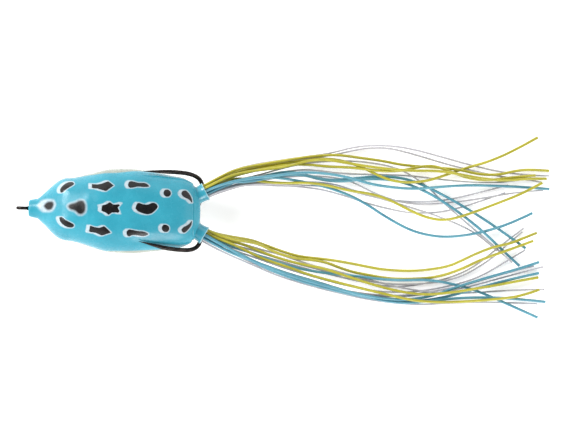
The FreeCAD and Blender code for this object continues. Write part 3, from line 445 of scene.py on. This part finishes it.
def map_range(nodes, links, source, low, high, to_low, to_high):
    """Maps a value from one range to another, with a smooth step."""
    node = nodes.new("ShaderNodeMapRange")
    node.interpolation_type = "SMOOTHSTEP"
    for name, value in (("From Min", low), ("From Max", high),
                        ("To Min", to_low), ("To Max", to_high)):
        node.inputs[name].default_value = value
    links.new(source, node.inputs["Value"])
    return node.outputs["Result"]


def mix(nodes, links, factor, first, second):
    """Mixes two colours; each is a socket or an RGB triple."""
    node = nodes.new("ShaderNodeMix")
    node.data_type = "RGBA"
    links.new(factor, node.inputs["Factor"])
    for key, value in (("A", first), ("B", second)):
        socket = [s for s in node.inputs if s.name == key and s.type == "RGBA"][0]
        if isinstance(value, tuple):
            socket.default_value = (*value, 1)
        else:
            links.new(value, socket)
    return [s for s in node.outputs if s.type == "RGBA"][0]


def bump(nodes, links, shader, height, strength, distance):
    """Feeds a height to the shader's normal."""
    node = nodes.new("ShaderNodeBump")
    node.inputs["Strength"].default_value = strength
    node.inputs["Distance"].default_value = distance
    links.new(height, node.inputs["Height"])
    links.new(node.outputs["Normal"], shader.inputs["Normal"])


def attribute(nodes, name):
    """A float attribute of the mesh."""
    node = nodes.new("ShaderNodeAttribute")
    node.attribute_name = name
    return node.outputs["Fac"]


def skin_material():
    """Glossy painted PVC: blue back, cream belly, black spots with pale sprayed halos."""
    material, nodes, links, shader = new_material("painted_pvc", 0.25)
    blue = ramp(nodes, links, noise(nodes, links, 130.0, 4.0),
                [(0.30, (0.030, 0.285, 0.385)), (0.70, (0.042, 0.345, 0.455))])
    cream = ramp(nodes, links, noise(nodes, links, 240.0),
                 [(0.3, (0.25, 0.285, 0.235)), (0.7, (0.32, 0.355, 0.295))])
    belly = map_range(nodes, links, attribute(nodes, "belly"), -0.5, 0.6, 0.0, 1.0)
    body = mix(nodes, links, belly, blue, cream)
    halo = map_range(nodes, links, attribute(nodes, "halo"), -0.20, 0.30, 1.0, 0.0)
    spray = noise(nodes, links, 1400.0, 5.0)
    halo_colour = ramp(nodes, links, spray,
                       [(0.35, (0.37, 0.48, 0.54)), (0.62, (0.50, 0.59, 0.64))])
    body = mix(nodes, links, halo, body, halo_colour)
    black = map_range(nodes, links, attribute(nodes, "black"), -0.11, 0.11, 1.0, 0.0)
    black_colour = ramp(nodes, links, noise(nodes, links, 700.0),
                        [(0.3, (0.006, 0.006, 0.007)), (0.7, (0.014, 0.012, 0.012))])
    body = mix(nodes, links, black, body, black_colour)
    links.new(body, shader.inputs["Base Color"])
    rough = map_range(nodes, links, noise(nodes, links, 420.0), 0.3, 0.7, 0.20, 0.32)
    links.new(rough, shader.inputs["Roughness"])
    shader.inputs["Specular IOR Level"].default_value = 0.30
    shader.inputs["Coat Weight"].default_value = 0.12
    shader.inputs["Coat Roughness"].default_value = 0.12
    bump(nodes, links, shader, noise(nodes, links, 900.0, 2.0), 0.10, 0.0002)
    return material


def hook_material():
    """Black nickel wire with fine drawing marks."""
    material, nodes, links, shader = new_material("black_nickel", 0.25)
    colour = ramp(nodes, links, noise(nodes, links, 900.0, 4.0, (0.15, 1, 1)),
                  [(0.3, (0.014, 0.013, 0.013)), (0.75, (0.055, 0.046, 0.042))])
    links.new(colour, shader.inputs["Base Color"])
    shader.inputs["Metallic"].default_value = 0.9
    shader.inputs["Specular Tint"].default_value = (0.30, 0.28, 0.27, 1)
    rough = map_range(nodes, links, noise(nodes, links, 2500.0), 0.3, 0.7, 0.20, 0.36)
    links.new(rough, shader.inputs["Roughness"])
    bump(nodes, links, shader, noise(nodes, links, 4000.0, 2.0, (0.1, 1, 1)), 0.08, 0.0001)
    return material


def metal_material(name, dark, light, roughness):
    """Turned or polished metal of the inner pieces."""
    material, nodes, links, shader = new_material(name, roughness)
    links.new(ramp(nodes, links, noise(nodes, links, 600.0), [(0.3, dark), (0.7, light)]),
              shader.inputs["Base Color"])
    shader.inputs["Metallic"].default_value = 1.0
    rough = map_range(nodes, links, noise(nodes, links, 1800.0), 0.3, 0.7,
                      roughness * 0.8, roughness * 1.3)
    links.new(rough, shader.inputs["Roughness"])
    return material


def plain_material(name, dark, light, roughness):
    """Moulded rubber or plastic with a fine grain."""
    material, nodes, links, shader = new_material(name, roughness)
    links.new(ramp(nodes, links, noise(nodes, links, 500.0), [(0.3, dark), (0.7, light)]),
              shader.inputs["Base Color"])
    bump(nodes, links, shader, noise(nodes, links, 2500.0, 2.0), 0.15, 0.0001)
    return material


def strand_material(name, dark, light, clear):
    """Silicone strand: colour that varies along it, fine flakes and a soft shine."""
    material, nodes, links, shader = new_material(name, 0.32)
    base = ramp(nodes, links, noise(nodes, links, 110.0, 3.0), [(0.3, dark), (0.7, light)])
    flakes = map_range(nodes, links, noise(nodes, links, 3600.0, 2.0), 0.64, 0.74, 0.0, 0.25)
    sparkle = tuple(min(1.0, c * 1.25 + 0.05) for c in light)
    links.new(mix(nodes, links, flakes, base, sparkle), shader.inputs["Base Color"])
    shader.inputs["Coat Weight"].default_value = 0.35
    shader.inputs["Subsurface Weight"].default_value = 0.35 if clear else 0.12
    shader.inputs["Subsurface Radius"].default_value = (0.0010, 0.0010, 0.0010)
    shader.inputs["Subsurface Scale"].default_value = 1.0
    rough = map_range(nodes, links, noise(nodes, links, 1500.0), 0.3, 0.7, 0.26, 0.42)
    links.new(rough, shader.inputs["Roughness"])
    return material


# --- skirt strands --------------------------------------------------------------------------

def socket_frame(side):
    """A socket's rim centre, its axis out of the body, and the level direction across it, mm."""
    turn = math.radians(SOCKET_TURN)
    rim = Vector((SOCKET_RIM[0], side * SOCKET_RIM[1], SOCKET_RIM[2]))
    axis = Vector((math.cos(turn), side * math.sin(turn), 0))
    across = Vector((-side * math.sin(turn), math.cos(turn), 0))
    return rim, axis, across


def spline_length(ob):
    """Length of a curve object that has no thickness yet, read from its own spline, in mm."""
    graph = bpy.context.evaluated_depsgraph_get()
    line = bpy.data.meshes.new_from_object(ob.evaluated_get(graph), depsgraph=graph)
    places = [vertex.co.copy() for vertex in line.vertices]
    length = sum((places[a] - places[b]).length for a, b in line.edge_keys) / MM
    bpy.data.meshes.remove(line)
    return length


def make_strand(node, root, route, material):
    """One strand as a NURBS curve whose control points are its route."""
    side = 1 if "_right_" in node else -1
    radius = CLEAR_R if "_clear_" in node else COLOURED_R
    rim, axis, across = socket_frame(side)
    base = rim + across * root[0] + Vector((0, 0, root[1]))
    points = [base + axis * PLUG_FACE, base + axis * STRAND_LEAD] + [Vector(p) for p in route]
    curve = bpy.data.curves.new(node + "_silicone", "CURVE")
    curve.dimensions = "3D"
    curve.resolution_u = 10
    spline = curve.splines.new("NURBS")
    spline.points.add(len(points) - 1)
    for target, point in zip(spline.points, points):
        target.co = (*(point * MM), 1)
    spline.order_u = 3
    spline.use_endpoint_u = True
    ob = add_object(node + "_silicone", curve)
    length = round(spline_length(ob), 1) * MM
    curve.bevel_depth = radius * MM
    curve.bevel_resolution = 3
    curve.use_fill_caps = True
    curve.materials.append(material)
    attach(ob, "shell")
    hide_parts(node)


# --- body skin ------------------------------------------------------------------------------

def smooth_curve(places, values, wanted):
    """Monotone cubic curve through the given values, so that it never overshoots."""
    places = np.array(places)
    values = np.array(values)
    steps = np.diff(places)
    slopes = np.diff(values) / steps
    tangents = np.zeros(len(places))
    tangents[0], tangents[-1] = slopes[0], slopes[-1]
    for k in range(1, len(places) - 1):
        if slopes[k - 1] * slopes[k] > 0:
            w1 = 2 * steps[k] + steps[k - 1]
            w2 = steps[k] + 2 * steps[k - 1]
            tangents[k] = (w1 + w2) / (w1 / slopes[k - 1] + w2 / slopes[k])
    cell = np.clip(np.searchsorted(places, wanted) - 1, 0, len(steps) - 1)
    h = steps[cell]
    t = (wanted - places[cell]) / h
    return ((1 + 2 * t) * (1 - t) ** 2 * values[cell] + t * (1 - t) ** 2 * h * tangents[cell]
            + t * t * (3 - 2 * t) * values[cell + 1] + t * t * (t - 1) * h * tangents[cell + 1])


def station_values(x, column):
    """One column of the stations, smoothly between them."""
    return smooth_curve(STATION_X, [s[column] for s in STATIONS], x)


def body_grid():
    """Stations along the body, closer together at its ends, in mm."""
    front = np.linspace(-30.4, -29.6, 6)
    middle = np.concatenate([np.linspace(-29.4, 27.8, 146), np.linspace(27.9, 30.0, 20)])
    rear = 31.42 - 1.42 * (1 - np.linspace(0, 1, 14) ** 0.8) ** 2
    return np.unique(np.round(np.concatenate([front, middle, rear]), 4))


def body_mesh():
    """The outer skin as a closed grid, with a cupped snout and brow bulges over the eyes."""
    xs = body_grid()
    width = station_values(xs, 1)
    low = station_values(xs, 2)
    high = station_values(xs, 3)
    middle = station_values(xs, 4)
    turn = np.linspace(0, 2 * math.pi, RING, endpoint=False)
    across = np.sign(np.cos(turn)) * np.abs(np.cos(turn)) ** (2 / SECTION_POWER)
    up = np.sign(np.sin(turn)) * np.abs(np.sin(turn)) ** (2 / SECTION_POWER)
    cheek_x, cheek_spread, cheek_swell = CHEEK
    cup_floor = CUP_DEPTH * 1.05
    bm = bmesh.new()
    rings = []
    for k, x in enumerate(xs):
        reach = np.where(up > 0, high[k] - middle[k], middle[k] - low[k])
        y = width[k] * across
        z = middle[k] + reach * up
        z = z + brow_bulge(x, y, z)
        cheek = cheek_swell * math.exp(-((x - cheek_x) / cheek_spread) ** 2)
        y = y + np.sign(y) * np.clip(np.abs(y) / width[k] - 0.5, 0, 1) * cheek
        pinch = 1 - CREASE_DEPTH * math.exp(-((x - REAR_CREASE) / CREASE_WIDTH) ** 2)
        y = y * pinch
        z = middle[k] + (z - middle[k]) * pinch
        rings.append([bm.verts.new((x * MM, b * MM, c * MM)) for b, c in zip(y, z)])
    snout_y = width[0] * across
    snout_z = up * np.where(up > 0, high[0] - middle[0], middle[0] - low[0])
    for cup in CUP_RINGS:
        x = xs[0] + cup_floor * (1 - cup ** 2) - (0.05 if cup > 0.9 else 0)
        rings.insert(0, [bm.verts.new((x * MM, b * cup * MM, (middle[0] + c * cup) * MM))
                         for b, c in zip(snout_y, snout_z)])
    for first, second in zip(rings, rings[1:]):
        bridge(bm, first, second)
    for ring, x, z in ((rings[0], xs[0] + cup_floor, middle[0]),
                       (rings[-1], xs[-1] + 0.03, middle[-1])):
        centre = bm.verts.new((x * MM, 0, z * MM))
        for k in range(RING):
            bm.faces.new((ring[k], ring[(k + 1) % RING], centre))
    bmesh.ops.recalc_face_normals(bm, faces=bm.faces)
    return finished_mesh(bm, "body_skin")


def brow_bulge(x, y, z):
    """Swelling of the eye mounds on the head, in mm."""
    swell = np.zeros_like(y)
    for centre_x, centre_y in EYE_MOUNDS:
        distance = (((x - centre_x) / MOUND_SPREAD[0]) ** 2
                    + ((y - centre_y) / MOUND_SPREAD[1]) ** 2)
        swell += MOUND_HEIGHT * np.exp(-distance)
    return np.where(z > MOUNDS_ABOVE, swell, 0.0)


def rounded(outline):
    """The outline with each corner cut off a fifth of the way along its sides."""
    corners = []
    for (x1, y1), (x2, y2) in zip(outline, outline[1:] + outline[:1]):
        corners += [(0.8 * x1 + 0.2 * x2, 0.8 * y1 + 0.2 * y2),
                    (0.2 * x1 + 0.8 * x2, 0.2 * y1 + 0.8 * y2)]
    return corners


def polygon_distance(outline, x, y):
    """Signed distance from points to a closed outline, negative inside."""
    nearest = np.full(x.shape, 1e9)
    inside = np.zeros(x.shape, bool)
    for (x1, y1), (x2, y2) in zip(outline, outline[1:] + outline[:1]):
        dx, dy = x2 - x1, y2 - y1
        t = np.clip(((x - x1) * dx + (y - y1) * dy) / (dx * dx + dy * dy), 0, 1)
        nearest = np.minimum(nearest, np.hypot(x - x1 - t * dx, y - y1 - t * dy))
        crosses = (y1 > y) != (y2 > y)
        slope = dx / dy if dy else 0.0
        inside ^= crosses & (x < x1 + (y - y1) * slope)
    return np.where(inside, -nearest, nearest)


def paint_fields(mesh):
    """Stores how far each vertex is from the black spots, their halos and the belly's edge."""
    place = np.empty(len(mesh.vertices) * 3)
    mesh.vertices.foreach_get("co", place)
    x, y, z = (place.reshape(-1, 3) / MM).T
    middle = station_values(np.clip(x, STATION_X[0], STATION_X[-1]), 4)
    width = station_values(np.clip(x, STATION_X[0], STATION_X[-1]), 1)
    black = np.full(x.shape, 5.0)
    halo = black.copy()
    on_back = z > middle
    for name, outline in BACK_SPOTS.items():
        soft = name in SOFT_SPOTS
        if name not in SHARP_SPOTS:
            outline = rounded(rounded(outline))
        spot = polygon_distance(outline, x, y)
        black_blur, halo_blur = (SOFT_BLACK, SOFT_HALO) if soft else (1.0, 1.0)
        black = np.where(on_back, np.minimum(black, spot * black_blur), black)
        lead, margin = OWN_HALO.get(name, HALO)
        for shift in np.linspace(0, lead, 5):
            ahead = polygon_distance(outline, x + shift, y) - margin
            halo = np.where(on_back, np.minimum(halo, ahead * halo_blur), halo)
    for spot_x, spot_z, length, height, side in FLANK_SPOTS:
        beside = (y * side > 0) & (np.abs(y) > 0.5 * width)
        away = np.hypot((x - spot_x) / length, (z - spot_z) / height) - 1
        away = away * min(length, height)
        black = np.where(beside, np.minimum(black, away), black)
        halo = np.where(beside, np.minimum(halo, away - FLANK_HALO), halo)
    right, left = (low + more * np.exp(-((x - at) / spread) ** 2)
                   for low, more, at, spread in (CREAM_RIGHT, CREAM_LEFT))
    start, over, fall = CREAM_FRONT
    rise = np.where(y > 0, right, left) - fall * np.clip((start - x) / over, 0, 1)
    edge = middle + rise - z
    for name, values in (("black", black), ("halo", halo), ("belly", edge)):
        field = mesh.attributes.new(name, "FLOAT", "POINT")
        field.data.foreach_set("value", values.astype(np.float32))


def lathe(name, profile, start, axis, segments=72):
    """A closed solid of revolution; the profile is a closed loop of (along, radius), mm."""
    axis = axis.normalized()
    side = axis.cross(Vector((0, 0, 1))).normalized()
    above = side.cross(axis)
    bm = bmesh.new()
    rings = []
    for k in range(segments):
        turn = 2 * math.pi * k / segments
        out = side * math.cos(turn) + above * math.sin(turn)
        rings.append([bm.verts.new((start + axis * a + out * r) * MM) for a, r in profile])
    for first, second in zip(rings, rings[1:] + rings[:1]):
        bridge(bm, first, second)
    bmesh.ops.recalc_face_normals(bm, faces=bm.faces)
    return finished_mesh(bm, name)


def make_body(material):
    """The painted skin with its tail slot and the two leg cuffs."""
    skin = add_object("body_skin", body_mesh())
    cut_slot(skin)
    paint_fields(skin.data)
    finish_piece(skin, material)
    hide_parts("body_shell")
    for name, side in (("right", 1), ("left", -1)):
        rim, axis, _ = socket_frame(side)
        cuff = add_object("leg_cuff_" + name, lathe("leg_cuff_" + name, CUFF_PROFILE, rim, axis))
        finish_piece(cuff, cuff_material(name, rim, axis))


def cuff_material(name, rim, axis):
    """The body's blue, turned pale along the cuff's rim as a painted highlight."""
    material, nodes, links, shader = new_material("painted_cuff_" + name, 0.28)
    blue = ramp(nodes, links, noise(nodes, links, 260.0, 4.0),
                [(0.30, (0.026, 0.260, 0.360)), (0.70, (0.042, 0.345, 0.455))])
    place = nodes.new("ShaderNodeTexCoord")
    along = nodes.new("ShaderNodeVectorMath")
    along.operation = "DOT_PRODUCT"
    along.inputs[1].default_value = tuple(axis)
    links.new(place.outputs["Object"], along.inputs[0])
    # Painted highlight: the cuff's blue turns pale towards its rim.
    pale = map_range(nodes, links, along.outputs["Value"],
                     *((axis.dot(rim) + step) * MM for step in RIM_HIGHLIGHT_SPAN), 0.0, 0.8)
    links.new(mix(nodes, links, pale, blue, (0.42, 0.66, 0.72)), shader.inputs["Base Color"])
    shader.inputs["Coat Weight"].default_value = 0.4
    bump(nodes, links, shader, noise(nodes, links, 1100.0, 2.0), 0.12, 0.0002)
    return material


def cut_slot(skin):
    """Cuts the slot under the tail that the hook leaves by."""
    low, high = Vector(SLOT_LOW) * MM, Vector(SLOT_HIGH) * MM
    bm = bmesh.new()
    bmesh.ops.create_cube(bm, size=1)
    for vertex in bm.verts:
        vertex.co = Vector((a + (b - a) * (c + 0.5) for a, b, c in zip(low, high, vertex.co)))
    bmesh.ops.bevel(bm, geom=list(bm.edges), offset=SLOT_ROUNDING * MM, segments=4,
                    affect="EDGES", profile=0.5)
    cutter = add_object("slot_cutter", finished_mesh(bm, "slot_cutter"))
    modifier = skin.modifiers.new("slot", "BOOLEAN")
    modifier.operation = "DIFFERENCE"
    modifier.solver = "EXACT"
    modifier.object = cutter
    graph = bpy.context.evaluated_depsgraph_get()
    cut = bpy.data.meshes.new_from_object(skin.evaluated_get(graph), depsgraph=graph)
    skin.modifiers.clear()
    skin.data = cut
    bpy.data.objects.remove(cutter)


def wire_line(corners, step=0.3):
    """Points along the bent hook wire, a quadratic B-spline with the corners as controls."""
    runs = [Vector(c) for c in corners]
    points = [runs[0]]
    for k in range(1, len(runs) - 1):
        start = runs[0] if k == 1 else (runs[k - 1] + runs[k]) / 2
        end = runs[-1] if k == len(runs) - 2 else (runs[k] + runs[k + 1]) / 2
        count = max(2, int((end - start).length / step))
        for j in range(1, count + 1):
            t = j / count
            points.append(start * (1 - t) ** 2 + runs[k] * 2 * t * (1 - t) + end * t * t)
    return points


def sweep(bm, points, radii, closed=False, segments=28):
    """Adds a round wire along the points to a mesh, with its own radius at each, mm."""
    count = len(points)
    rings = []
    side = None
    for k, point in enumerate(points):
        before = points[k - 1] if closed or k else point
        after = points[(k + 1) % count] if closed or k < count - 1 else point
        along = (after - before).normalized()
        if side is None:
            side = along.orthogonal()
        side = (side - along * side.dot(along)).normalized()
        above = along.cross(side)
        ring = []
        for j in range(segments):
            turn = 2 * math.pi * j / segments
            out = side * math.cos(turn) + above * math.sin(turn)
            ring.append(bm.verts.new((point + out * radii[k]) * MM))
        rings.append(ring)
    for first, second in zip(rings, rings[1:] + (rings[:1] if closed else [])):
        bridge(bm, first, second)
    if not closed:
        bm.faces.new(list(reversed(rings[0])))
        bm.faces.new(rings[-1])


def make_hook(material):
    """The double hook's wire: line eye, shank and two arms that thin towards their points."""
    bm = bmesh.new()
    centre = Vector(EYE_CENTRE)
    turns = [2 * math.pi * k / RING_STEPS for k in range(RING_STEPS)]
    ring = [centre + Vector((math.cos(t), 0, math.sin(t))) * EYE_RING_R for t in turns]
    sweep(bm, ring, [EYE_WIRE_R] * len(ring), closed=True)
    front, rear = (Vector(end) for end in SHANK_ENDS)
    shank = [front.lerp(rear, k / SHANK_STEPS) for k in range(SHANK_STEPS + 1)]
    sweep(bm, shank, [HOOK_WIRE_R] * len(shank))
    for corners in HOOK_ARMS:
        points = wire_line(corners)
        left = [0.0]
        for first, second in zip(reversed(points[1:]), reversed(points[:-1])):
            left.append(left[-1] + (first - second).length)
        radii = []
        for distance in reversed(left):
            part = min(1.0, distance / POINT_TAPER)
            radii.append(POINT_R + (HOOK_WIRE_R - POINT_R) * (1 - (1 - part) ** 1.5))
        sweep(bm, points, radii)
    bmesh.ops.recalc_face_normals(bm, faces=bm.faces)
    ob = add_object("hook_wire", finished_mesh(bm, "hook_wire"))
    ob.data.materials.append(material)
    for face in ob.data.polygons:
        face.use_smooth = len(face.vertices) == 4
    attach(ob, "hook")
    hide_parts("double_hook")


def finish_piece(ob, material):
    """Smooth shading, a material, and the soft shell to ride on."""
    ob.data.materials.clear()
    ob.data.materials.append(material)
    for face in ob.data.polygons:
        face.use_smooth = True
    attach(ob, "shell")


def paint_frame_nodes():
    """Gives the nodes that stay as the frame has them their materials."""
    steel = metal_material("polished_steel", (0.48, 0.48, 0.50), (0.66, 0.66, 0.68), 0.18)
    sleeve = metal_material("drawn_aluminium", (0.55, 0.55, 0.57), (0.72, 0.72, 0.74), 0.3)
    brass = metal_material("turned_brass", (0.50, 0.34, 0.12), (0.66, 0.48, 0.20), 0.3)
    plug = plain_material("moulded_plug", (0.10, 0.10, 0.11), (0.17, 0.17, 0.18), 0.6)
    band = plain_material("rubber_band", (0.02, 0.02, 0.02), (0.05, 0.05, 0.05), 0.75)
    finishes = {"belly_weight": brass, "rattle_tube": sleeve, "rattle_ball": steel,
                "rattle_plug": plug, "skirt_plug": plug, "rattle_band": band, "skirt_band": band}
    for name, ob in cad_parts.items():
        for prefix, material in finishes.items():
            if name.startswith(prefix):
                ob.data.materials.clear()
                ob.data.materials.append(material)


def main():
    """Builds the looks."""
    aim_camera()
    finishes = {
        "yellow": strand_material("silicone_yellow", (0.37, 0.34, 0.020), (0.52, 0.47, 0.040),
                                  clear=False),
        "blue": strand_material("silicone_blue", (0.07, 0.26, 0.35), (0.11, 0.35, 0.44),
                                clear=False),
        "clear": strand_material("silicone_clear", (0.43, 0.42, 0.45), (0.55, 0.54, 0.57),
                                 clear=True),
    }
    for node, (root, route) in STRANDS.items():
        make_strand(node, root, route, finishes[node.split("_")[2]])
    make_studio()
    make_body(skin_material())
    make_hook(hook_material())
    paint_frame_nodes()


main()
